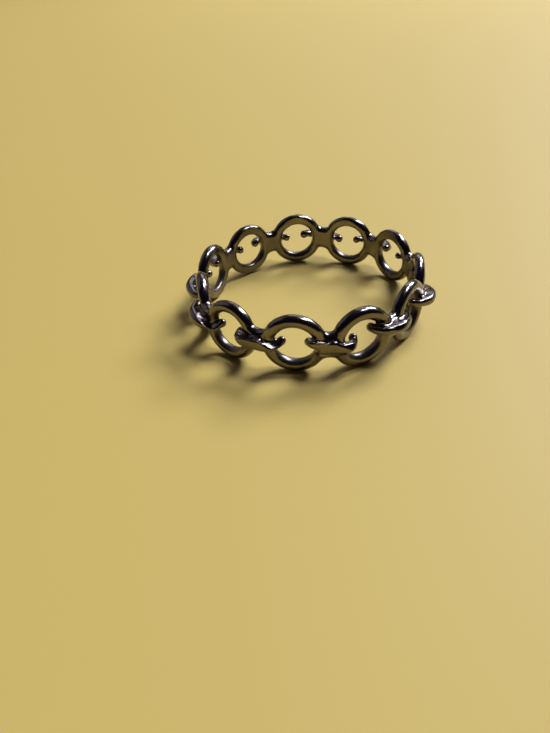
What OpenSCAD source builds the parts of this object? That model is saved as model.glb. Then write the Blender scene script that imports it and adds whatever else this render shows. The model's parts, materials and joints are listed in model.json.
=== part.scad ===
// Chain link ring, cast in one piece: round links stand side by side round the band,
// and at each place where two of them meet a half hoop hooks into both from outside.
// The ring's axis is Z and its origin is on that axis, halfway up the band.

/* [Finger size] */
// Inner diameter of the ring
bore_d = 16.9; // [15:0.1:22]

/* [Round links] */
// Number of round links in the band
link_count = 11; // [9:1:13]
// Thickness of a round link's wire
link_wire = 0.92; // [0.75:0.01:1.1]
// Gap between the wires of two neighbouring round links
link_gap = 0.33; // [0.2:0.01:0.5]
// Depth that the bore grinds off the inner side of a round link
link_grind = 0.1; // [0.06:0.01:0.3]

/* [Webs] */
// Height of the web that fills the gap between two round links
web_h = 1.7; // [1.2:0.05:2.2]
// How far the web stands out past the circle of the links' centres
web_out = 0.35; // [0.2:0.05:0.5]
// Width of the neck that carries a half hoop, at the circle of the links' centres
neck_w = 1.66; // [1.3:0.02:2]
// Width of the neck where it meets the half hoop
neck_end_w = 0.9; // [0.7:0.05:1.2]

/* [Half hoops] */
// Thickness of a half hoop's wire
hoop_wire = 0.66; // [0.55:0.01:0.8]
// Diameter of the rounded tips of a half hoop
hoop_tip = 0.7; // [0.58:0.01:0.9]
// Thickness of a half hoop at its swollen middle
hoop_swell = 1; // [0.85:0.01:1.3]
// Length of the swollen middle
swell_len = 2.2; // [1.6:0.1:2.6]
// Gap between a tip and the wire of the round link that it hooks into
hoop_gap = 0.19; // [0.08:0.01:0.3]
// How far a half hoop's centre lies inside the circle of the links' centres
hoop_inset = 0.3; // [0:0.01:0.5]
// Angle from the middle of a half hoop to its tip
hoop_turn = 80; // [70:1:90]
// Height of the half hoops over the middle of the band
hoop_lift = 0.25; // [-0.4:0.05:0.4]

/* [Hidden] */

$fn = 96;
// Half of the turn from one round link to the next
half_step = 180 / link_count;
// Radius of the circle through the round links' centres
row_r = bore_d / 2 + link_wire / 2 - link_grind;
// Distance from the middle of a junction to the centre of a link's wire beside it
side_s = link_gap / 2 + link_wire / 2;
// Radius of a round link, to the centre of its wire
link_r = (row_r * sin(half_step) - side_s) / cos(half_step);
// Height of the band
band_h = 2 * link_r + link_wire;
// Radius of a half hoop, to the centre of its wire
hoop_r = (side_s + link_wire / 2 + hoop_gap + hoop_tip / 2) / sin(hoop_turn);
// Distance of a half hoop's centre from the ring's axis
hoop_row_r = row_r - hoop_inset;
// Distance of the swollen middle from the half hoop's centre, flush with the wire outside
swell_r = hoop_r - (hoop_swell - hoop_wire) / 2;

// A wire bent round the Z axis with its centre at radius r
module wire_arc(r, wire, turn) {
    rotate([0, 0, -turn / 2])
        rotate_extrude(angle = turn)
            translate([r, 0])
                circle(d = wire);
}

// A round link, standing with its face outwards at the angle 0
module round_link() {
    translate([row_r, 0, 0])
        rotate([0, 90, 0])
            wire_arc(link_r, link_wire, 360);
}

// A spindle along the Y axis, thickest in the middle and pointed at both ends
module spindle(d, len) {
    // Radius of the arc through both points and the thickest place
    arc_r = (pow(len / 2, 2) + pow(d / 2, 2)) / d;
    rotate([90, 0, 0])
        rotate_extrude()
            intersection() {
                translate([d / 2 - arc_r, 0])
                    circle(r = arc_r);
                translate([0, -len / 2])
                    square([d / 2, len]);
            }
}

// A half hoop lying across a junction at the angle 0, with its tips turned inwards
module half_hoop() {
    translate([hoop_row_r, 0, hoop_lift]) {
        wire_arc(hoop_r, hoop_wire, 2 * hoop_turn);
        translate([swell_r, 0, 0])
            spindle(hoop_swell, swell_len);
        for (side = [-1, 1])
            rotate([0, 0, side * hoop_turn])
                translate([hoop_r, 0, 0])
                    sphere(d = hoop_tip);
    }
}

// The metal that joins two round links, and the neck that rises from it to their half hoop
module web() {
    // The web starts level with the links' inner side and is cut back by the finger hole
    web_in = row_r - link_wire / 2;
    translate([web_in, -side_s, -web_h / 2])
        cube([row_r + web_out - web_in, 2 * side_s, web_h]);
    reach = hoop_row_r + swell_r - row_r;
    translate([row_r, 0, 0])
        rotate([0, 90 - atan(hoop_lift / reach), 0])
            cylinder(h = norm([reach, hoop_lift]), d1 = neck_w, d2 = neck_end_w);
}

module cast_band() {
    color("silver")
        difference() {
            for (i = [0 : link_count - 1])
                rotate([0, 0, i * 2 * half_step]) {
                    round_link();
                    rotate([0, 0, half_step]) {
                        web();
                        half_hoop();
                    }
                }
            cylinder(h = 2 * band_h, d = bore_d, center = true, $fn = 360);
        }
}

cast_band();
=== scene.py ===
"""The looks of a chain link ring: one casting in sterling silver, lying on a pale floor.

Lengths in the classes are millimetres, as on a jeweller's drawing, and MM turns them into
the metres of the scene. The ring's axis is Z, and its origin is halfway up the band.
"""

import json
import logging
import math
from dataclasses import dataclass, field
from enum import Enum
from typing import Any, NamedTuple

import bpy
import numpy as np
from mathutils import Matrix, Vector
from mathutils.bvhtree import BVHTree


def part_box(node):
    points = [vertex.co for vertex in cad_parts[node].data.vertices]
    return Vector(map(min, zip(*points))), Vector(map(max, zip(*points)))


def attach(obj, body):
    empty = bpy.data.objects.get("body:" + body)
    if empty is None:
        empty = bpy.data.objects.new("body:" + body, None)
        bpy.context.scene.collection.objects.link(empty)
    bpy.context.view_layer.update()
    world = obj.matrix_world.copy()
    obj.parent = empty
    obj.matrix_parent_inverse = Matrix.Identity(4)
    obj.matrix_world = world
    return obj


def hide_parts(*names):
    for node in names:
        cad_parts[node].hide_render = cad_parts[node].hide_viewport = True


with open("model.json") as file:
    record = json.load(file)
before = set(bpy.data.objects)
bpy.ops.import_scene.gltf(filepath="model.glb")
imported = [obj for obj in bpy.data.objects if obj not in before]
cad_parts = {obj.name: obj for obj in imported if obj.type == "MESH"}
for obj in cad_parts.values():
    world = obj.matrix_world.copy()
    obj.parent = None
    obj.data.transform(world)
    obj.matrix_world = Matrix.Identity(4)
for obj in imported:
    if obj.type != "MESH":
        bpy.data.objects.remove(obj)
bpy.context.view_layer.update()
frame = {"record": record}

MM = 0.001
MERGE_MM = 0.001
SMOOTHING = 0.5
NODE = "cast_band"
X_AXIS, Z_AXIS = Vector((1, 0, 0)), Vector((0, 0, 1))
# A Mix node's sockets for colours share their names with those for numbers, so they go by number.
COLOUR_A, COLOUR_B, MIXED_COLOUR = 6, 7, 2
log = logging.getLogger("chain_link_ring")


def linear(hex_code: str) -> tuple[float, float, float, float]:
    """Turn an sRGB hex colour into the linear colour that a shader takes, by the sRGB standard.

    Args:
        hex_code: the colour, such as "#e8e4dc".

    Returns:
        Red, green, blue and full alpha.
    """
    shares = [int(hex_code[i:i + 2], 16) / 255 for i in (1, 3, 5)]
    rgb = [s / 12.92 if s <= 0.04045 else ((s + 0.055) / 1.055) ** 2.4 for s in shares]
    return rgb[0], rgb[1], rgb[2], 1.0


def add_node(tree: bpy.types.NodeTree, kind: str,
             links: dict[str | int, bpy.types.NodeSocket] | None = None,
             values: dict[str | int, Any] | None = None, **settings: Any) -> bpy.types.Node:
    """Add a node to a shader with its settings, values and incoming links.

    Args:
        tree: the node tree of a material or world.
        kind: the node's type, such as "ShaderNodeTexNoise".
        links: the output socket that feeds each named or numbered input.
        values: the value of each named or numbered input.
        settings: properties of the node itself.

    Returns:
        The new node.
    """
    node = tree.nodes.new(kind)
    for name, value in settings.items():
        setattr(node, name, value)
    for key, value in (values or {}).items():
        node.inputs[key].default_value = value
    for key, socket in (links or {}).items():
        tree.links.new(socket, node.inputs[key])
    return node


def new_surface(name: str) -> tuple[bpy.types.Material, bpy.types.NodeTree, bpy.types.Node]:
    """Make an empty material with its output and shader in place.

    Args:
        name: the material's name.

    Returns:
        The material, its node tree and its Principled shader.
    """
    material = bpy.data.materials.new(name)
    material.use_nodes = True
    tree = material.node_tree
    tree.nodes.clear()
    shader = add_node(tree, "ShaderNodeBsdfPrincipled")
    add_node(tree, "ShaderNodeOutputMaterial", {"Surface": shader.outputs[0]})
    return material, tree, shader


def deselect() -> None:
    """Leave object mode with nothing selected."""
    if bpy.context.object and bpy.context.object.mode != "OBJECT":
        bpy.ops.object.mode_set(mode="OBJECT")
    bpy.ops.object.select_all(action="DESELECT")


def pick(*pieces: bpy.types.Object) -> None:
    """Select these pieces alone and make the last one active.

    Args:
        pieces: the objects to select.
    """
    deselect()
    for piece in pieces:
        piece.select_set(True)
        bpy.context.view_layer.objects.active = piece


def set_down(piece: bpy.types.Object) -> None:
    """Apply a piece's place, turn and size to its mesh, so that its object sits at the origin."""
    pick(piece)
    bpy.ops.object.transform_apply(location=True, rotation=True, scale=True)


def apply_modifier(piece: bpy.types.Object, name: str, kind: str, **settings: Any) -> None:
    """Add a modifier to a piece and apply it.

    Args:
        piece: the mesh object.
        name: the modifier's name.
        kind: the modifier's type, such as "REMESH".
        settings: properties of the modifier.
    """
    pick(piece)
    modifier = piece.modifiers.new(name, kind)
    for key, value in settings.items():
        setattr(modifier, key, value)
    bpy.ops.object.modifier_apply(modifier=name)


def own_copy(master: bpy.types.Object, name: str) -> bpy.types.Object:
    """Copy a master piece with a mesh of its own.

    Args:
        master: the piece to copy.
        name: the copy's name.

    Returns:
        The copy, where its master is.
    """
    copy = master.copy()
    copy.data = master.data.copy()
    copy.name = name
    bpy.context.collection.objects.link(copy)
    return copy


def spin_wire(name: str, start: Vector, turn: tuple[float, float, float], wire_mm: float, sides: int,
              steps: int, angle: float, centre: Vector, axis: Vector) -> bpy.types.Object:
    """Spin a round section into a bent wire with closed ends.

    Args:
        name: the wire's name.
        start: the middle of the first section, in metres.
        turn: how the first section is turned.
        wire_mm: the wire's thickness.
        sides: the number of points round the section.
        steps: the number of lengths along the wire.
        angle: how far the section is spun.
        centre: the middle of the bend, in metres.
        axis: the axis of the bend.

    Returns:
        The wire, with its object at the origin.
    """
    deselect()
    bpy.ops.mesh.primitive_circle_add(vertices=sides, radius=wire_mm / 2 * MM, location=start,
                                      rotation=turn)
    wire = bpy.context.object
    wire.name = name
    set_down(wire)
    pick(wire)
    bpy.ops.object.mode_set(mode="EDIT")
    bpy.ops.mesh.select_all(action="SELECT")
    bpy.ops.mesh.spin(steps=steps, angle=angle, center=centre, axis=axis)
    bpy.ops.mesh.select_all(action="SELECT")
    bpy.ops.mesh.remove_doubles(threshold=MERGE_MM * MM)
    bpy.ops.mesh.fill_holes(sides=0)
    bpy.ops.mesh.normals_make_consistent(inside=False)
    bpy.ops.object.mode_set(mode="OBJECT")
    return wire


def vertex_places(mesh: bpy.types.Mesh) -> np.ndarray:
    """Read a mesh's vertices.

    Args:
        mesh: the mesh.

    Returns:
        An array with a row for each vertex, in metres.
    """
    places = np.empty(len(mesh.vertices) * 3)
    mesh.vertices.foreach_get("co", places)
    return places.reshape(-1, 3)


def move_vertices(mesh: bpy.types.Mesh, places: np.ndarray) -> None:
    """Write an array of places back to a mesh's vertices."""
    mesh.vertices.foreach_set("co", places.ravel())
    mesh.update()


def store_marks(mesh: bpy.types.Mesh, name: str, marks: np.ndarray) -> None:
    """Store a number on each vertex, under the name by which a material reads it."""
    mesh.attributes.new(name, "FLOAT", "POINT").data.foreach_set("value", marks.astype(np.float32))


def skin_of(pieces: list[bpy.types.Object]) -> BVHTree:
    """Put the surfaces of some pieces into one search tree.

    Args:
        pieces: mesh objects that sit at the origin.

    Returns:
        The tree, in the scene's own coordinates.
    """
    places, faces = [], []
    for piece in pieces:
        first = len(places)
        places.extend(vertex.co.copy() for vertex in piece.data.vertices)
        faces.extend(tuple(first + v for v in face.vertices) for face in piece.data.polygons)
    return BVHTree.FromPolygons(places, faces)


class Ramp(NamedTuple):
    """A range of a pattern and the range of a finish that it becomes, held level outside of it."""

    low: float
    high: float
    start: float = 0.0
    end: float = 1.0

    def values(self) -> dict[str, float]:
        """Give the ramp as the inputs of a Map Range node."""
        return {"From Min": self.low, "From Max": self.high, "To Min": self.start, "To Max": self.end}


class LinkTrim(NamedTuple):
    """How one round link departs from the regular row, as cast and finished by hand.

    The row's own place, turn and size are 0, 0 and 1. The last two are shares: of the link's
    radius, and of its wire's thickness.
    """

    turn_deg: float
    out_mm: float
    up_mm: float
    yaw_deg: float
    lean_deg: float
    size: float
    wire: float


class FileFlat(NamedTuple):
    """A flat that a file left: the way it faces and its distance from the middle of the wire."""

    side_deg: float
    up_deg: float
    from_middle_mm: float


class Crown(Enum):
    """The flats filed on a half hoop. Sides turn anticlockwise from straight outwards."""

    ROUND = ()
    LEVEL = (FileFlat(-6, 0, -0.18), FileFlat(10, 84, 0.38), FileFlat(15, 35, 0.04))
    FACED = (FileFlat(2, 0, 0.07), FileFlat(0, 84, 0.34), FileFlat(62, 62, 0.49), FileFlat(0, -70, 0.40))
    DISHED = (FileFlat(145, 63, 0.31),)
    RIDGED = (FileFlat(5, 80, 0.40), FileFlat(-10, 30, 0.43))


class HoopTrim(NamedTuple):
    """How one half hoop departs from the regular row, and how its crown was finished.

    It slants to one side by slant_deg and its front hangs by droop_mm. Its size and the depth of
    the polishing waves on its crown are shares of the regular ones.
    """

    turn_deg: float
    out_mm: float
    up_mm: float
    lean_deg: float
    slant_deg: float
    droop_mm: float
    size: float
    wavy: float
    crown: Crown


class Section(NamedTuple):
    """A section through a neck: its half width, and the heights of its lower and upper edge."""

    half_mm: float
    low_mm: float
    top_mm: float


class Neck(Enum):
    """The shapes of metal that carry a half hoop: a section at the join and one at the hoop."""

    SLIM = (Section(0.55, -0.45, 0.72), Section(0.42, -0.05, 0.56))
    SHORT = (Section(0.50, -0.30, 0.70), Section(0.42, 0.00, 0.56))
    PLATE = (Section(1.14, -1.05, 0.25), Section(1.06, -0.15, 0.25))


class JoinTrim(NamedTuple):
    """How far up and down the metal fills one join, and what carries its half hoop."""

    top_mm: float
    bottom_mm: float
    necks: tuple[Neck, ...]


@dataclass
class BandSizes:
    """The casting's main sizes: the finger hole and the band's height come from the frame."""

    bore_mm: float
    height_mm: float
    floor_mm: float
    count: int = 11
    wire_mm: float = 0.92
    grind_mm: float = 0.10

    @classmethod
    def from_frame(cls) -> "BandSizes":
        """Read the finger hole's radius from its mount and the band's height from its solid.

        Returns:
            The sizes.
        """
        hole = next(m for m in frame["record"]["mounts"] if m["name"] == "finger_hole")
        low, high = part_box(NODE)
        return cls(bore_mm=hole["dims"]["r_mm"], height_mm=(high.z - low.z) / MM, floor_mm=low.z / MM)

    @property
    def row_mm(self) -> float:
        """Radius of the circle through the links' centres."""
        return self.bore_mm + self.wire_mm / 2 - self.grind_mm

    @property
    def link_mm(self) -> float:
        """Radius of a round link, to the centre of its wire."""
        return (self.height_mm - self.wire_mm) / 2

    @property
    def step(self) -> float:
        """Turn from one link to the next."""
        return 2 * math.pi / self.count


@dataclass
class RoundLinks:
    """The closed rings of round wire that stand side by side with their faces outwards."""

    sizes: BandSizes
    turns_along: int = 144
    turns_round: int = 64
    # One row for each link, anticlockwise from +X.
    rows: tuple[LinkTrim, ...] = (
        LinkTrim(-0.3, -0.04, -0.05, -2.9, -0.9, 0.993, 0.99),
        LinkTrim(0.0, 0.00, -0.04, 2.6, 1.5, 0.990, 0.95),
        LinkTrim(-0.2, 0.00, -0.03, 2.6, 0.5, 1.000, 0.95),
        LinkTrim(-0.5, 0.03, 0.04, 0.8, 1.6, 1.000, 1.00),
        LinkTrim(-0.6, -0.03, 0.01, -0.8, 0.0, 0.980, 0.98),
        LinkTrim(0.0, -0.02, -0.02, -3.2, -1.5, 0.998, 1.00),
        LinkTrim(0.0, 0.00, 0.00, -3.8, -1.7, 1.000, 1.00),
        LinkTrim(-0.2, 0.12, -0.03, 6.3, 3.2, 0.990, 0.98),
        LinkTrim(1.0, -0.02, 0.02, 1.0, -2.4, 1.000, 1.04),
        LinkTrim(0.2, 0.01, 0.02, 0.5, 0.5, 1.000, 1.08),
        LinkTrim(0.55, -0.08, 0.05, -1.1, 0.2, 1.000, 1.00),
    )

    def build(self) -> list[bpy.types.Object]:
        """Add a torus for each link, at its own place and lean.

        Returns:
            The links, in order round the band.
        """
        return [self._link(i, trim) for i, trim in enumerate(self.rows)]

    def stand(self, i: int) -> tuple[Vector, Vector]:
        """Give the centre of a link and the way that it faces.

        Args:
            i: the link's number.

        Returns:
            The centre in metres, and the direction in which the link's face looks.
        """
        trim = self.rows[i]
        at = i * self.sizes.step + math.radians(trim.turn_deg)
        facing_at, lean = at + math.radians(trim.yaw_deg), math.radians(trim.lean_deg)
        facing = Vector((math.cos(facing_at) * math.cos(lean), math.sin(facing_at) * math.cos(lean),
                         math.sin(lean)))
        out = self.sizes.row_mm + trim.out_mm
        return Vector((math.cos(at) * out, math.sin(at) * out, trim.up_mm)) * MM, facing

    def side(self, i: int, way: int) -> Vector:
        """Give the middle of a link's wire at its side.

        Args:
            i: the link's number.
            way: 1 for the anticlockwise side and -1 for the clockwise one.

        Returns:
            The place in metres.
        """
        centre, facing = self.stand(i)
        sideways = Z_AXIS.cross(facing).normalized()
        return centre + way * self.sizes.link_mm * self.rows[i].size * MM * sideways

    def _link(self, i: int, trim: LinkTrim) -> bpy.types.Object:
        """Make one link at its own place, turn and thickness.

        Args:
            i: the link's number.
            trim: how it departs from the regular row.

        Returns:
            The link.
        """
        centre, facing = self.stand(i)
        deselect()
        bpy.ops.mesh.primitive_torus_add(
            major_radius=self.sizes.link_mm * trim.size * MM,
            minor_radius=self.sizes.wire_mm * trim.wire / 2 * MM, major_segments=self.turns_along,
            minor_segments=self.turns_round, location=centre,
            rotation=facing.to_track_quat("Z", "Y").to_euler())
        link = bpy.context.object
        link.name = f"round_link_{i:02d}"
        set_down(link)
        return link


@dataclass
class HalfHoops:
    """The half rings of wire that hook across the joins from outside.

    Each is half an oval, which reaches outwards by reach_mm and sideways by spread_mm from a
    centre that lies inset_mm inside the links' circle. Its wire is thickest in front, where it is
    dished on top. A file bites only further out than file_from_mm from that centre, and fully
    file_fade_mm beyond.
    """

    sizes: BandSizes
    inset_mm: float = 0.03
    reach_mm: float = 1.20
    spread_mm: float = 1.66
    half_turn_deg: float = 91.5
    wire_mm: float = 0.65
    swell_mm: float = 0.33
    dish: float = 0.5
    tip_mm: float = 0.70
    lift_mm: float = 0.26
    file_from_mm: float = 0.20
    file_fade_mm: float = 0.35
    spun_mm: float = 3.0
    spun_wire_mm: float = 2.0
    sides: int = 80
    steps: int = 90
    tip_sides: int = 32
    tip_rings: int = 16
    # One row for each join, anticlockwise from the one beside the first link.
    rows: tuple[HoopTrim, ...] = (
        HoopTrim(1.2, -0.06, 0.00, 1.0, 0.0, 0.30, 0.880, 1.0, Crown.ROUND),
        HoopTrim(0.3, 0.00, 0.00, -1.0, 0.0, 0.26, 0.990, 1.0, Crown.RIDGED),
        HoopTrim(0.4, -0.04, -0.03, 6.3, 0.0, 0.30, 1.020, 1.0, Crown.ROUND),
        HoopTrim(0.1, 0.02, 0.00, 2.9, 0.0, 0.26, 0.985, 1.0, Crown.ROUND),
        HoopTrim(-0.2, 0.00, 0.02, 1.0, 0.0, 0.26, 1.000, 1.0, Crown.RIDGED),
        HoopTrim(-0.4, 0.00, -0.16, -3.8, -2.0, 0.00, 0.980, 1.0, Crown.ROUND),
        HoopTrim(-0.6, 0.12, 0.02, -1.4, -5.0, 0.00, 1.040, 1.0, Crown.DISHED),
        HoopTrim(0.6, -0.02, -0.04, 0.5, -2.0, 0.00, 1.000, 0.8, Crown.FACED),
        HoopTrim(1.6, 0.04, -0.03, -1.4, -13.0, 0.00, 0.960, 0.0, Crown.LEVEL),
        HoopTrim(-0.4, -0.10, 0.22, -2.5, 0.0, 0.00, 0.980, 1.0, Crown.RIDGED),
        HoopTrim(-0.7, -0.08, -0.02, -5.5, 0.0, 0.00, 0.965, 1.0, Crown.ROUND),
    )

    @property
    def centre(self) -> Vector:
        """Centre of the first hoop's half ring, in metres."""
        return Vector((self.sizes.row_mm - self.inset_mm, 0, self.lift_mm)) * MM

    @property
    def middle(self) -> Vector:
        """Middle of the first hoop's wire where it swells, in metres."""
        return self.centre + Vector((self.reach_mm * MM, 0, 0))

    def build(self) -> list[bpy.types.Object]:
        """Make a master, copy it to every join and file its crown there.

        Returns:
            The half hoops, in order round the band.
        """
        master = self._master()
        hoops = []
        for i, trim in enumerate(self.rows):
            hoop = own_copy(master, f"half_hoop_{i:02d}")
            self._slant(hoop, trim)
            hoop.data.transform(self.place(i, trim))
            self.file_flats(hoop, i)
            hoops.append(hoop)
        bpy.data.objects.remove(master)
        return hoops

    def _slant(self, hoop: bpy.types.Object, trim: HoopTrim) -> None:
        """Slant and lower the front of a half hoop while its tips stay where they are.

        Args:
            hoop: the half hoop, still at the master's place.
            trim: how it departs from the regular row.
        """
        places = vertex_places(hoop.data)
        out = np.clip((places[:, 0] - self.centre.x) / (self.reach_mm * MM), 0, 1)
        slope = math.tan(math.radians(trim.slant_deg))
        places[:, 2] += (slope * places[:, 1] - trim.droop_mm * MM) * out
        move_vertices(hoop.data, places)

    def file_flats(self, piece: bpy.types.Object, i: int) -> None:
        """File a piece at one join down to the flats of that join's crown.

        Args:
            piece: the half hoop or neck, in place.
            i: the number of the join.
        """
        trim = self.rows[i]
        place = self.place(i, trim)
        back = np.array(place.inverted())[0]
        from_centre = (vertex_places(piece.data) @ back[:3] + back[3] - self.centre.x) / MM
        reach = np.clip((from_centre - self.file_from_mm) / self.file_fade_mm, 0, 1)
        for flat in trim.crown.value:
            side, up = math.radians(flat.side_deg), math.radians(flat.up_deg)
            facing = Vector((math.cos(side) * math.cos(up), math.sin(side) * math.cos(up), math.sin(up)))
            on_flat = np.array(place @ (self.middle + facing * flat.from_middle_mm * MM))
            away = np.array((place.to_3x3() @ facing).normalized())
            places = vertex_places(piece.data)
            proud = np.maximum((places - on_flat) @ away, 0)
            move_vertices(piece.data, places - (reach * proud)[:, None] * away)

    def place(self, i: int, trim: HoopTrim) -> Matrix:
        """Give the matrix that moves a master to its join.

        Args:
            i: the number of the join.
            trim: how its half hoop departs from the regular row.

        Returns:
            The matrix, in metres.
        """
        turn = (i + 0.5) * self.sizes.step + math.radians(trim.turn_deg)
        shift = Vector((trim.out_mm, 0, trim.up_mm)) * MM
        return (Matrix.Rotation(turn, 4, "Z") @ Matrix.Translation(self.centre + shift)
                @ Matrix.Rotation(math.radians(trim.lean_deg), 4, "X") @ Matrix.Scale(trim.size, 4)
                @ Matrix.Translation(-self.centre))

    def _master(self) -> bpy.types.Object:
        """Spin a round section into a half ring, draw it out to its oval and round its tips.

        Returns:
            The master, at azimuth 0.
        """
        half_turn = math.radians(self.half_turn_deg)
        start = self.centre + self.spun_mm * MM * Vector((math.cos(half_turn), -math.sin(half_turn), 0))
        hoop = spin_wire("hoop_master", start, (math.pi / 2, 0, -half_turn), self.spun_wire_mm,
                         self.sides, self.steps, -2 * half_turn, self.centre, Z_AXIS)
        self._draw_out(hoop)
        tips = [self._tip(side) for side in (-1, 1)]
        pick(*tips, hoop)
        bpy.ops.object.join()
        return hoop

    def _draw_out(self, hoop: bpy.types.Object) -> None:
        """Turn the spun half ring into the oval, with its swollen and dished wire.

        Args:
            hoop: the spun half ring.
        """
        from_centre = (vertex_places(hoop.data) - np.array(self.centre)) / MM
        x, y, up = from_centre.T
        turn = np.arctan2(y, x)
        out = np.hypot(x, y) - self.spun_mm
        angle = np.arctan2(up, out)
        radius = (self.wire_mm + self.swell_mm * np.cos(turn) ** 2) / 2
        facing = np.stack([self.spread_mm * np.cos(turn), self.reach_mm * np.sin(turn)])
        facing /= np.linalg.norm(facing, axis=0)
        middle = np.stack([self.reach_mm * np.cos(turn), self.spread_mm * np.sin(turn)])
        dished = 1 - self.dish * (1 - np.cos(angle)) / 2 * (up > 0)
        height = radius * np.sin(angle) * dished
        drawn = np.column_stack([*(middle + facing * radius * np.cos(angle)), height])
        move_vertices(hoop.data, drawn * MM + np.array(self.centre))

    def _tip(self, side: int) -> bpy.types.Object:
        """Round off one tip, at the end of the oval.

        Args:
            side: 1 for the anticlockwise tip and -1 for the clockwise one.

        Returns:
            The ball at the tip.
        """
        half_turn = side * math.radians(self.half_turn_deg)
        out, across = self.reach_mm * math.cos(half_turn), self.spread_mm * math.sin(half_turn)
        place = Vector((out, across, 0)) * MM
        deselect()
        bpy.ops.mesh.primitive_uv_sphere_add(segments=self.tip_sides, ring_count=self.tip_rings,
                                             radius=self.tip_mm / 2 * MM, location=self.centre + place)
        tip = bpy.context.object
        set_down(tip)
        return tip


@dataclass
class Webs:
    """The metal that fills each join between two links and rises to the half hoop as a neck.

    Above and below, it is a saddle: a short bend of the same wire that runs on smoothly from one
    link into the next and thins by taper inside their wires. A core fills the rest, and the neck
    leaves it outwards, with neck_lean as its share of the half hoop's own lean.
    """

    sizes: BandSizes
    links: RoundLinks
    hoops: HalfHoops
    core_in_mm: float = 0.42
    core_out_mm: float = 0.42
    neck_start_mm: float = 0.2
    neck_end_mm: float = 1.15
    neck_lean: float = 0.5
    round_mm: float = 0.24
    round_steps: int = 6
    bend_mm: float = 0.15
    taper: float = 0.20
    saddle_steps: int = 48
    # One row for each join, anticlockwise from the one beside the first link.
    rows: tuple[JoinTrim, ...] = (
        JoinTrim(0.98, -0.98, (Neck.SLIM,)),
        JoinTrim(0.98, -0.98, (Neck.SLIM,)),
        JoinTrim(1.02, -0.98, (Neck.SLIM,)),
        JoinTrim(0.98, -0.98, (Neck.SLIM,)),
        JoinTrim(0.96, -1.00, (Neck.SLIM,)),
        JoinTrim(0.98, -0.98, (Neck.SLIM,)),
        JoinTrim(0.98, -0.90, (Neck.SHORT,)),
        JoinTrim(0.95, -0.55, (Neck.SHORT,)),
        JoinTrim(0.98, -1.12, (Neck.SLIM, Neck.PLATE)),
        JoinTrim(0.98, -0.95, (Neck.SHORT,)),
        JoinTrim(0.98, -0.98, (Neck.SHORT,)),
    )

    def build(self) -> list[bpy.types.Object]:
        """Fill every join and run its neck out to the half hoop.

        Returns:
            The fills and necks, in order round the band.
        """
        pieces = []
        for i, trim in enumerate(self.rows):
            place, gap_mm = self._between(i)
            fill = self._fill(trim, gap_mm)
            self._follow_links(fill, place, i, gap_mm)
            fill.data.transform(place)
            pieces.append(fill)
            hoop = self.hoops.rows[i]
            stand = hoop._replace(lean_deg=hoop.lean_deg * self.neck_lean, size=1.0)
            for shape in trim.necks:
                neck = self._neck(shape, hoop.droop_mm)
                neck.data.transform(self.hoops.place(i, stand))
                self.hoops.file_flats(neck, i)
                pieces.append(neck)
        return pieces

    def _between(self, i: int) -> tuple[Matrix, float]:
        """Find the middle between two links as they really stand.

        Args:
            i: the number of the join.

        Returns:
            The matrix that moves a fill there, and the distance between the two wires' middles.
        """
        before = self.links.side(i, 1)
        after = self.links.side((i + 1) % self.sizes.count, -1)
        across = (after - before).normalized()
        out = across.cross(Z_AXIS).normalized()
        turned = Matrix((out, across, out.cross(across))).transposed().to_4x4()
        return Matrix.Translation((before + after) / 2) @ turned, (after - before).length / MM

    def _fill(self, trim: JoinTrim, gap_mm: float) -> bpy.types.Object:
        """Join the two saddles of a join to the core between them.

        Args:
            trim: how far up and down the fill goes.
            gap_mm: the distance between the middles of the two links' wires.

        Returns:
            The fill, with its middle at the origin and its outside towards +X.
        """
        inset = self.sizes.wire_mm / 2
        core = self._block("core", -self.core_in_mm, self.core_out_mm, gap_mm / 2,
                           trim.bottom_mm + inset, trim.top_mm - inset)
        pick(self._saddle(trim.top_mm, gap_mm), self._saddle(trim.bottom_mm, gap_mm), core)
        bpy.ops.object.join()
        return bpy.context.object

    def _follow_links(self, fill: bpy.types.Object, place: Matrix, i: int, gap_mm: float) -> None:
        """Bend both ends of a fill inwards, into the planes in which its two links stand.

        Args:
            fill: the fill, still at the origin.
            place: the matrix that moves it to its join.
            i: the number of the join.
            gap_mm: the distance between the middles of the two links' wires.
        """
        places = vertex_places(fill.data)
        shift = np.zeros(len(places))
        for way, link in ((-1, i), (1, (i + 1) % self.sizes.count)):
            facing = place.to_3x3().inverted() @ self.links.stand(link)[1]
            past = way * places[:, 1] - gap_mm / 2 * MM
            past = (past + np.hypot(past, self.bend_mm * MM)) / 2
            shift -= way * past * facing.y / facing.x
        places[:, 0] += shift
        move_vertices(fill.data, places)

    def _saddle(self, height_mm: float, gap_mm: float) -> bpy.types.Object:
        """Bend a piece of wire so that it runs smoothly into both links and crosses at a height.

        Args:
            height_mm: the height of its outer side in the middle, below zero for a lower saddle.
            gap_mm: the distance between the middles of the two links' wires.

        Returns:
            The saddle.
        """
        wire, half_step = self.sizes.wire_mm, self.sizes.step / 2
        link = self.sizes.link_mm * (1 + math.cos(half_step)) / 2
        apart = gap_mm / 2 + link
        side = math.copysign(1, height_mm)
        low = abs(height_mm) - wire / 2
        bend = (apart ** 2 + low ** 2 - link ** 2) / (2 * (link - low))
        centre = Vector((0, 0, side * (low + bend))) * MM
        half_turn = math.atan2(apart, low + bend)
        start = centre - bend * MM * Vector((0, math.sin(half_turn), side * math.cos(half_turn)))
        saddle = spin_wire("saddle", start, (math.pi / 2 - side * half_turn, 0, 0), wire,
                           self.links.turns_round, self.saddle_steps, -side * 2 * half_turn, centre,
                           X_AXIS)
        self._thin_ends(saddle, centre, bend, half_turn)
        return saddle

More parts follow.
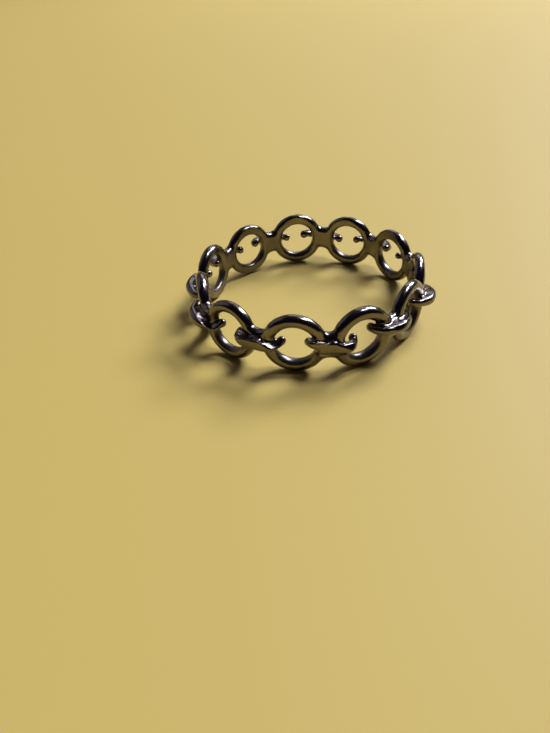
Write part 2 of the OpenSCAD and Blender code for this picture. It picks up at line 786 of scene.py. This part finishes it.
    def _thin_ends(self, saddle: bpy.types.Object, centre: Vector, bend_mm: float,
                   half_turn: float) -> None:
        """Thin a saddle towards its ends, so that they stay inside the wires of the links.

        Args:
            saddle: the bent wire.
            centre: the middle of its bend, in metres.
            bend_mm: the radius of its bend, to the middle of the wire.
            half_turn: the angle from its middle to an end.
        """
        places = vertex_places(saddle.data) - np.array(centre)
        from_bend = np.hypot(places[:, 1], places[:, 2])
        along = np.arcsin(np.clip(np.abs(places[:, 1]) / from_bend, 0, 1)) / half_turn
        share = 1 - self.taper * along ** 2
        drawn = bend_mm * MM + (from_bend - bend_mm * MM) * share
        places *= np.column_stack([share, drawn / from_bend, drawn / from_bend])
        move_vertices(saddle.data, places + np.array(centre))

    def _neck(self, shape: Neck, droop_mm: float) -> bpy.types.Object:
        """Make a neck that runs from inside the join into the half hoop's wire.

        Args:
            shape: its section at the join and at the hoop.
            droop_mm: how far the hoop's front hangs.

        Returns:
            The neck, at azimuth 0.
        """
        root, end = shape.value
        row = self.sizes.row_mm
        neck = self._block("neck", row + self.neck_start_mm, row + self.neck_end_mm, root.half_mm,
                           root.low_mm, root.top_mm)
        places = vertex_places(neck.data)
        outer = places[:, 0] > (row + self.neck_end_mm / 2) * MM
        upper = places[:, 2] > (root.low_mm + root.top_mm) / 2 * MM
        places[outer, 1] *= end.half_mm / root.half_mm
        places[outer, 2] = np.where(upper[outer], end.top_mm - droop_mm, end.low_mm - droop_mm) * MM
        move_vertices(neck.data, places)
        apply_modifier(neck, "edges", "BEVEL", width=self.round_mm * MM, segments=self.round_steps)
        return neck

    def _block(self, name: str, inner: float, outer: float, half: float, low: float,
               top: float) -> bpy.types.Object:
        """Add a block that reaches from one X to another, equally far to both sides. All in mm.

        Args:
            name: the block's name.
            inner: the X of its inner face.
            outer: the X of its outer face.
            half: half of its width.
            low: the height of its lower face.
            top: the height of its upper face.

        Returns:
            The block.
        """
        deselect()
        bpy.ops.mesh.primitive_cube_add(size=1, location=Vector((inner + outer, 0, top + low)) * MM / 2,
                                        scale=Vector((outer - inner, 2 * half, top - low)) * MM)
        block = bpy.context.object
        block.name = name
        set_down(block)
        return block


@dataclass(frozen=True)
class SterlingSilver:
    """Sterling silver, lost-wax cast, tumbled and hand polished.

    Outside it mirrors the room and the floor sharply, under a slight haze, fine hairlines and a
    few casting pits. Inside the links' holes it stays satin, and in the corners dark with oxide,
    because no polishing wheel reaches there.
    """

    metal_hex: str = "#7e776d"
    haze_hex: str = "#676058"
    oxide_hex: str = "#17130f"
    # The roughness between the hairlines and on them.
    polished: Ramp = Ramp(0.45, 0.7, start=0.14, end=0.23)
    inside_roughness: float = 0.30
    oxide_roughness: float = 0.5
    haze_mm: float = 2.2
    haze_detail: float = 3.0
    haze_share: Ramp = Ramp(0.5, 0.75, end=0.6)
    # Real hairlines are about 0.01 mm wide and real pits about 0.03 mm. A pixel covers 0.08 mm of
    # the ring, so hairlines are drawn twice and pits three times as coarse, to show at all.
    hairline_mm: float = 0.12
    hairline_detail: float = 2.0
    hairline_squeeze: tuple[float, float, float] = (1.0, 1.0, 6.0)
    hairline_turn: tuple[float, float, float] = (0.4, 0.7, 0.2)
    pit_mm: float = 0.55
    pit_edge: Ramp = Ramp(0.05, 0.11, start=1.0, end=0.0)
    relief: float = 0.06
    relief_mm: float = 0.02
    oxide_share: Ramp = Ramp(0.4, 0.85)
    inside_share: Ramp = Ramp(0.2, 0.6)

    def material(self) -> bpy.types.Material:
        """Build the finish on the piece's own coordinates and the marks that it carries.

        Returns:
            The material.
        """
        material, tree, shader = new_surface("sterling_silver_polished")
        metres = add_node(tree, "ShaderNodeTexCoord").outputs["Object"]
        place = add_node(tree, "ShaderNodeMapping", {"Vector": metres},
                         {"Scale": (1 / MM,) * 3}).outputs[0]
        squeezed = add_node(tree, "ShaderNodeMapping", {"Vector": place},
                            {"Scale": self.hairline_squeeze, "Rotation": self.hairline_turn}).outputs[0]
        hairlines = add_node(tree, "ShaderNodeTexNoise", {"Vector": squeezed},
                             {"Scale": 1 / self.hairline_mm, "Detail": self.hairline_detail}).outputs[0]
        hollow = add_node(tree, "ShaderNodeAttribute", attribute_name="hollow").outputs["Fac"]
        oxide = add_node(tree, "ShaderNodeMapRange", {"Value": hollow},
                         self.oxide_share.values()).outputs[0]
        shader.inputs["Metallic"].default_value = 1.0
        tree.links.new(self._colour(tree, place, oxide), shader.inputs["Base Color"])
        tree.links.new(self._roughness(tree, hairlines, oxide), shader.inputs["Roughness"])
        tree.links.new(self._relief(tree, place, hairlines), shader.inputs["Normal"])
        return material

    def _colour(self, tree: bpy.types.NodeTree, place: bpy.types.NodeSocket,
                oxide: bpy.types.NodeSocket) -> bpy.types.NodeSocket:
        """Cloud the metal with haze and darken it with oxide.

        Args:
            tree: the material's node tree.
            place: the piece's coordinates in millimetres.
            oxide: the share of oxide.

        Returns:
            The socket of the colour.
        """
        haze = add_node(tree, "ShaderNodeTexNoise", {"Vector": place},
                        {"Scale": 1 / self.haze_mm, "Detail": self.haze_detail}).outputs[0]
        share = add_node(tree, "ShaderNodeMapRange", {"Value": haze},
                         self.haze_share.values()).outputs[0]
        metal = add_node(tree, "ShaderNodeMix", {"Factor": share},
                         {COLOUR_A: linear(self.metal_hex), COLOUR_B: linear(self.haze_hex)},
                         data_type="RGBA").outputs[MIXED_COLOUR]
        return add_node(tree, "ShaderNodeMix", {"Factor": oxide, COLOUR_A: metal},
                        {COLOUR_B: linear(self.oxide_hex)}, data_type="RGBA").outputs[MIXED_COLOUR]

    def _roughness(self, tree: bpy.types.NodeTree, hairlines: bpy.types.NodeSocket,
                   oxide: bpy.types.NodeSocket) -> bpy.types.NodeSocket:
        """Wear the mirror along the hairlines, and leave it satin inside and dull with oxide.

        Args:
            tree: the material's node tree.
            hairlines: the pattern of the hairlines.
            oxide: the share of oxide.

        Returns:
            The socket of the roughness.
        """
        mirror = add_node(tree, "ShaderNodeMapRange", {"Value": hairlines},
                          self.polished.values()).outputs[0]
        inside = add_node(tree, "ShaderNodeAttribute", attribute_name="inside").outputs["Fac"]
        share = add_node(tree, "ShaderNodeMapRange", {"Value": inside},
                         self.inside_share.values()).outputs[0]
        satin = add_node(tree, "ShaderNodeMix", {"Factor": share, "A": mirror},
                         {"B": self.inside_roughness}).outputs[0]
        return add_node(tree, "ShaderNodeMix", {"Factor": oxide, "A": satin},
                        {"B": self.oxide_roughness}).outputs[0]

    def _relief(self, tree: bpy.types.NodeTree, place: bpy.types.NodeSocket,
                hairlines: bpy.types.NodeSocket) -> bpy.types.NodeSocket:
        """Raise the hairlines' edges and sink the pits a little.

        Args:
            tree: the material's node tree.
            place: the piece's coordinates in millimetres.
            hairlines: the pattern of the hairlines.

        Returns:
            The socket of the bumped normal.
        """
        cells = add_node(tree, "ShaderNodeTexVoronoi", {"Vector": place},
                         {"Scale": 1 / self.pit_mm}).outputs["Distance"]
        pits = add_node(tree, "ShaderNodeMapRange", {"Value": cells}, self.pit_edge.values()).outputs[0]
        height = add_node(tree, "ShaderNodeMath", {0: hairlines, 1: pits},
                          operation="SUBTRACT").outputs[0]
        return add_node(tree, "ShaderNodeBump", {"Height": height},
                        {"Strength": self.relief, "Distance": self.relief_mm * MM}).outputs[0]


class Family(Enum):
    """The kinds of part that are cast together, as the log names them."""

    LINKS = "round links"
    HOOPS = "half hoops"
    WEBS = "fills and necks"


@dataclass
class CastBand:
    """The casting: links, webs and half hoops fused into one body, bored and polished.

    Metal within fillet_mm of a second part is smoothed into it. Where the ring was sized, at
    seam_join, so is the solder within solder_mm, fully in the nearer solder_full share of it and
    only below solder_top_mm. Waves stand out from wave_middle, on a scale from 0 to 1.
    """

    sizes: BandSizes
    finish: SterlingSilver = field(default_factory=SterlingSilver)
    voxel_mm: float = 0.088
    fillet_mm: float = 0.30
    fillet_rounds: int = 18
    solder_mm: float = 0.6
    solder_full: float = 0.5
    solder_top_mm: float = -0.25
    solder_rounds: int = 30
    tumble_rounds: int = 3
    bore_passes: int = 2
    wave_mm: float = 0.9
    wave_middle: float = 0.55
    wave_depth_mm: float = 0.012
    crown_wave_mm: float = 0.08
    seam_join: int = 8
    seam_side_mm: float = -0.16
    seam_from_mm: float = 0.7
    seam_half_mm: float = 0.08
    seam_depth_mm: float = 0.04
    hollow_rays: int = 14
    hollow_start_mm: float = 0.03
    hollow_reach_mm: float = 1.1

    def build(self) -> bpy.types.Object:
        """Model the parts, fuse them into the band, polish and bore it, and dress it.

        Returns:
            The finished band.
        """
        round_links, half_hoops = RoundLinks(self.sizes), HalfHoops(self.sizes)
        families = {Family.LINKS: round_links.build(), Family.HOOPS: half_hoops.build(),
                    Family.WEBS: Webs(self.sizes, round_links, half_hoops).build()}
        for family, parts in families.items():
            log.info("%s: %d", family.value, len(parts))
        band = self._fuse(families, half_hoops.rows)
        self._wave(band)
        for _ in range(self.bore_passes):
            self._bore(band)
            apply_modifier(band, "break_edges", "SMOOTH", factor=SMOOTHING, iterations=1)
        self._bore(band)
        self._score_seam(band, half_hoops)
        self._mark_hollows(band)
        self._mark_insides(band, round_links)
        band.data.materials.clear()
        band.data.materials.append(self.finish.material())
        pick(band)
        bpy.ops.object.shade_smooth()
        return band

    def _bore(self, band: bpy.types.Object) -> None:
        """Grind the finger hole: metal that reaches into it ends on its wall.

        Args:
            band: the casting.
        """
        places = vertex_places(band.data)
        from_axis = np.hypot(places[:, 0], places[:, 1])
        places[:, :2] *= np.maximum(1, self.sizes.bore_mm * MM / from_axis)[:, None]
        move_vertices(band.data, places)

    def _score_seam(self, band: bpy.types.Object, hoops: HalfHoops) -> None:
        """Press in the fine seam down the plate of the join where the ring was sized.

        Args:
            band: the casting.
            hoops: the half hoops, for the place of that join.
        """
        places = vertex_places(band.data)
        join = hoops.place(self.seam_join, hoops.rows[self.seam_join])
        back = np.array(join.inverted())
        out, side = (places @ back[:3, :3].T + back[:3, 3])[:, :2].T / MM
        front = np.clip(out - self.sizes.row_mm - self.seam_from_mm, 0, self.seam_depth_mm)
        depth = front * np.exp(-((side - self.seam_side_mm) / self.seam_half_mm) ** 2)
        places -= depth[:, None] * MM * np.array(join.to_3x3() @ X_AXIS)
        move_vertices(band.data, places)

    def _fuse(self, families: dict[Family, list[bpy.types.Object]],
              hoops: tuple[HoopTrim, ...]) -> bpy.types.Object:
        """Cast the parts into one skin that keeps their true forms and is softened where they meet.

        Args:
            families: the parts of each kind.
            hoops: how each half hoop was finished.

        Returns:
            The casting.
        """
        skins = {family: skin_of(parts) for family, parts in families.items()}
        pick(*(part for parts in families.values() for part in parts))
        bpy.ops.object.join()
        band = bpy.context.object
        band.name = "silver_band"
        band.data.name = "silver_band"
        apply_modifier(band, "cast", "REMESH", mode="VOXEL", voxel_size=self.voxel_mm * MM)
        self._settle(band, skins, hoops)
        apply_modifier(band, "fillets", "SMOOTH", factor=SMOOTHING, iterations=self.fillet_rounds,
                       vertex_group="meetings")
        apply_modifier(band, "solder", "SMOOTH", factor=SMOOTHING, iterations=self.solder_rounds,
                       vertex_group="soldered")
        apply_modifier(band, "tumble", "SMOOTH", factor=SMOOTHING, iterations=self.tumble_rounds)
        return band

    def _settle(self, band: bpy.types.Object, skins: dict[Family, BVHTree],
                hoops: tuple[HoopTrim, ...]) -> None:
        """Move each vertex onto the nearest part, and group the vertices for the later steps.

        The group "meetings" takes those where a part of a second kind is near, "soldered" those
        where solder ran, and "crowns" those of the half hoops.

        Args:
            band: the casting, fresh from the remesh.
            skins: the surfaces of each kind of part.
            hoops: how each half hoop was finished.
        """
        meetings = band.vertex_groups.new(name="meetings")
        crowns = band.vertex_groups.new(name="crowns")
        soldered = band.vertex_groups.new(name="soldered")
        for vertex in band.data.vertices:
            hits = {family: skin.find_nearest(vertex.co) for family, skin in skins.items()}
            away = {family: hit[3] for family, hit in hits.items()}
            nearest, second = sorted(away, key=away.get)[:2]
            vertex.co = hits[nearest][0]
            near = 1 - away[second] / (self.fillet_mm * MM)
            meetings.add([vertex.index], min(max(near, 0.0), 1.0), "REPLACE")
            join = int(math.atan2(vertex.co.y, vertex.co.x) % math.tau // self.sizes.step)
            crowns.add([vertex.index], hoops[join].wavy * (nearest is Family.HOOPS), "REPLACE")
            if join == self.seam_join and vertex.co.z < self.solder_top_mm * MM:
                run = (1 - away[second] / (self.solder_mm * MM)) / self.solder_full
                soldered.add([vertex.index], min(max(run, 0.0), 1.0), "REPLACE")

    def _wave(self, band: bpy.types.Object) -> None:
        """Give the surface the slight waves that hand polishing leaves, and the crowns deeper ones.

        Args:
            band: the casting.
        """
        waves = bpy.data.textures.new("polishing_waves", "CLOUDS")
        waves.noise_scale = self.wave_mm * MM
        waves.noise_depth = 0
        for depth_mm, group in ((self.wave_depth_mm, ""), (self.crown_wave_mm, "crowns")):
            apply_modifier(band, "waves", "DISPLACE", texture=waves, texture_coords="LOCAL",
                           strength=depth_mm * MM, mid_level=self.wave_middle, vertex_group=group)

    def _mark_hollows(self, band: bpy.types.Object) -> None:
        """Store on each vertex how far the metal round it shuts it in, from 0 to 1.

        Args:
            band: the casting.
        """
        skin = skin_of([band])
        rays = self._ray_fan()
        shut = np.zeros(len(band.data.vertices))
        for vertex in band.data.vertices:
            start = vertex.co + vertex.normal * self.hollow_start_mm * MM
            turn = vertex.normal.to_track_quat("Z", "Y")
            hits = sum(skin.ray_cast(start, turn @ ray, self.hollow_reach_mm * MM)[0] is not None
                       for ray in rays)
            shut[vertex.index] = hits / len(rays)
        store_marks(band.data, "hollow", shut)

    def _mark_insides(self, band: bpy.types.Object, links: RoundLinks) -> None:
        """Store on each vertex how far it faces into the hole of its link, from 0 to 1.

        Args:
            band: the casting.
            links: the round links, for their places.
        """
        places = vertex_places(band.data)
        normals = np.empty(places.size)
        band.data.vertices.foreach_get("normal", normals)
        nearest = np.rint(np.arctan2(places[:, 1], places[:, 0]) / self.sizes.step).astype(int)
        stands = [links.stand(i) for i in range(self.sizes.count)]
        centres, facings = (np.array(column)[nearest % self.sizes.count] for column in zip(*stands))
        inwards = centres - places
        inwards -= facings * (inwards * facings).sum(axis=1)[:, None]
        inwards /= np.linalg.norm(inwards, axis=1)[:, None]
        inside = np.clip((normals.reshape(-1, 3) * inwards).sum(axis=1), 0, 1)
        store_marks(band.data, "inside", inside)

    def _ray_fan(self) -> list[Vector]:
        """Spread rays over the half sphere above a surface, denser near the upright.

        Returns:
            The rays, as unit vectors with +Z upright.
        """
        golden = math.pi * (3 - math.sqrt(5))
        fan = []
        for i in range(self.hollow_rays):
            height = math.sqrt((i + 0.5) / self.hollow_rays)
            side = math.sqrt(1 - height ** 2)
            fan.append(Vector((side * math.cos(i * golden), side * math.sin(i * golden), height)))
        return fan


@dataclass(frozen=True)
class StrawCard:
    """Uncoated card, dyed pale straw: a plain and even floor that tints the silver on it."""

    colour_hex: str = "#d3b95f"
    roughness: float = 0.6
    specular: float = 0.3

    def material(self) -> bpy.types.Material:
        """Build the finish.

        Returns:
            The material.
        """
        material, _, shader = new_surface("straw_card")
        shader.inputs["Base Color"].default_value = linear(self.colour_hex)
        shader.inputs["Roughness"].default_value = self.roughness
        shader.inputs["Specular IOR Level"].default_value = self.specular
        return material


@dataclass(frozen=True)
class Softbox:
    """A square studio light. Azimuth 0 is straight behind the ring and 90 is on its right."""

    name: str
    azimuth_deg: float
    elevation_deg: float
    side_mm: float
    watts: float
    tint_hex: str = "#ffffff"
    distance_mm: float = 1500.0

    def build(self) -> bpy.types.Object:
        """Hang the light so that it faces the ring.

        Returns:
            The light.
        """
        azimuth, elevation = math.radians(self.azimuth_deg), math.radians(self.elevation_deg)
        towards = Vector((math.sin(azimuth) * math.cos(elevation),
                          math.cos(azimuth) * math.cos(elevation), math.sin(elevation)))
        deselect()
        bpy.ops.object.light_add(type="AREA", location=towards * self.distance_mm * MM,
                                 rotation=towards.to_track_quat("Z", "Y").to_euler())
        light = bpy.context.object
        light.name = self.name
        light.data.size = self.side_mm * MM
        light.data.energy = self.watts
        light.data.color = linear(self.tint_hex)[:3]
        return light


@dataclass
class Studio:
    """The floor, the softboxes and the dim room round them.

    The room's wall turns into its ceiling upwards, into a glow behind the ring, and below the
    horizon into the colour of the floor.
    """

    sizes: BandSizes
    floor_side_mm: float = 8000.0
    floor_finish: StrawCard = field(default_factory=StrawCard)
    wall_hex: str = "#0f0c09"
    ceiling_hex: str = "#201c2d"
    glow_hex: str = "#6a6555"
    horizon_hex: str = "#a89a68"
    ceiling_share: Ramp = Ramp(0.0, 0.8)
    glow_share: Ramp = Ramp(0.0, 0.9)
    wall_share: Ramp = Ramp(0.02, 0.10)
    lights: tuple[Softbox, ...] = (
        Softbox("window_low", 42, 37, 520, 23.0, "#e2e6ff"),
        Softbox("window_high", 66, 63, 415, 12.0, "#e2e6ff"),
        Softbox("window_glow", 52, 48, 1300, 3.4, "#beb8ec"),
        Softbox("sky_behind", 4, 33, 700, 2.2, "#d6d4f4"),
        Softbox("sky_left", -68, 32, 1200, 1.5, "#beb8ec"),
    )

    def build(self) -> list[bpy.types.Object]:
        """Lay the floor, hang the lights and set the room's colour.

        Returns:
            The floor and the lights.
        """
        deselect()
        bpy.ops.mesh.primitive_plane_add(size=self.floor_side_mm * MM,
                                         location=(0, 0, self.sizes.floor_mm * MM))
        floor = bpy.context.object
        floor.name = "floor"
        set_down(floor)
        floor.data.materials.append(self.floor_finish.material())
        self._colour_room()
        bpy.context.scene.view_settings.view_transform = "Standard"
        return [floor, *(light.build() for light in self.lights)]

    def _colour_room(self) -> None:
        """Colour the world by the direction in which it is seen: Z is up and Y is behind the ring."""
        world = bpy.data.worlds.new("dim_room")
        bpy.context.scene.world = world
        world.use_nodes = True
        tree = world.node_tree
        direction = add_node(tree, "ShaderNodeTexCoord").outputs["Generated"]
        parts = add_node(tree, "ShaderNodeSeparateXYZ", {"Vector": direction}).outputs
        shares = (("Z", self.ceiling_share), ("Y", self.glow_share), ("Z", self.wall_share))
        upwards, backwards, above = (
            add_node(tree, "ShaderNodeMapRange", {"Value": parts[axis]}, share.values()).outputs[0]
            for axis, share in shares)
        walls = add_node(tree, "ShaderNodeMix", {"Factor": upwards},
                         {COLOUR_A: linear(self.wall_hex), COLOUR_B: linear(self.ceiling_hex)},
                         data_type="RGBA").outputs[MIXED_COLOUR]
        room = add_node(tree, "ShaderNodeMix", {"Factor": backwards, COLOUR_A: walls},
                        {COLOUR_B: linear(self.glow_hex)}, data_type="RGBA").outputs[MIXED_COLOUR]
        whole = add_node(tree, "ShaderNodeMix", {"Factor": above, COLOUR_B: room},
                         {COLOUR_A: linear(self.horizon_hex)}, data_type="RGBA").outputs[MIXED_COLOUR]
        tree.links.new(whole, tree.nodes["Background"].inputs["Color"])


@dataclass
class Viewpoint:
    """The camera, close in front of the ring and looking down past it.

    It stands distance_mm from the ring's middle, swung a little round it, aims at that middle and
    is then panned, tilted and rolled.
    """

    distance_mm: float = 47.1
    elevation_deg: float = 29.1
    swing_deg: float = 0.28
    pan_deg: float = -3.74
    tilt_deg: float = 8.45
    roll_deg: float = 1.54
    focal_mm: float = 27.26
    sensor_mm: float = 36.0
    near_mm: float = 1.0
    far_mm: float = 10000.0

    def build(self) -> bpy.types.Object:
        """Place the camera.

        Returns:
            The camera.
        """
        elevation = math.radians(self.elevation_deg)
        stand = Vector((0, -math.cos(elevation), math.sin(elevation))) * self.distance_mm * MM
        aim = (-stand).to_track_quat("-Z", "Y").to_matrix().to_4x4()
        trim = (Matrix.Rotation(-math.radians(self.pan_deg), 4, "Y")
                @ Matrix.Rotation(-math.radians(self.tilt_deg), 4, "X")
                @ Matrix.Rotation(-math.radians(self.roll_deg), 4, "Z"))
        deselect()
        bpy.ops.object.camera_add()
        camera = bpy.context.object
        camera.name = "camera"
        camera.matrix_world = (Matrix.Rotation(math.radians(self.swing_deg), 4, "Z")
                               @ Matrix.Translation(stand) @ aim @ trim)
        camera.data.lens = self.focal_mm
        camera.data.sensor_width = self.sensor_mm
        camera.data.clip_start = self.near_mm * MM
        camera.data.clip_end = self.far_mm * MM
        bpy.context.scene.camera = camera
        return camera


def main() -> None:
    """Build the camera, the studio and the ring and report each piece."""
    logging.basicConfig(level=logging.INFO, format="%(name)s: %(message)s")
    sizes = BandSizes.from_frame()
    camera = Viewpoint().build()
    stage = Studio(sizes).build()
    band = CastBand(sizes).build()
    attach(band, "root")
    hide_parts(NODE)
    for piece in (camera, *stage, band):
        log.info("%s: a %s, in place", piece.name, piece.type.lower())
    triangles = sum(len(face.vertices) - 2 for face in band.data.polygons)
    log.info("%s: %d triangles", band.name, triangles)


if __name__ == "__main__":
    main()
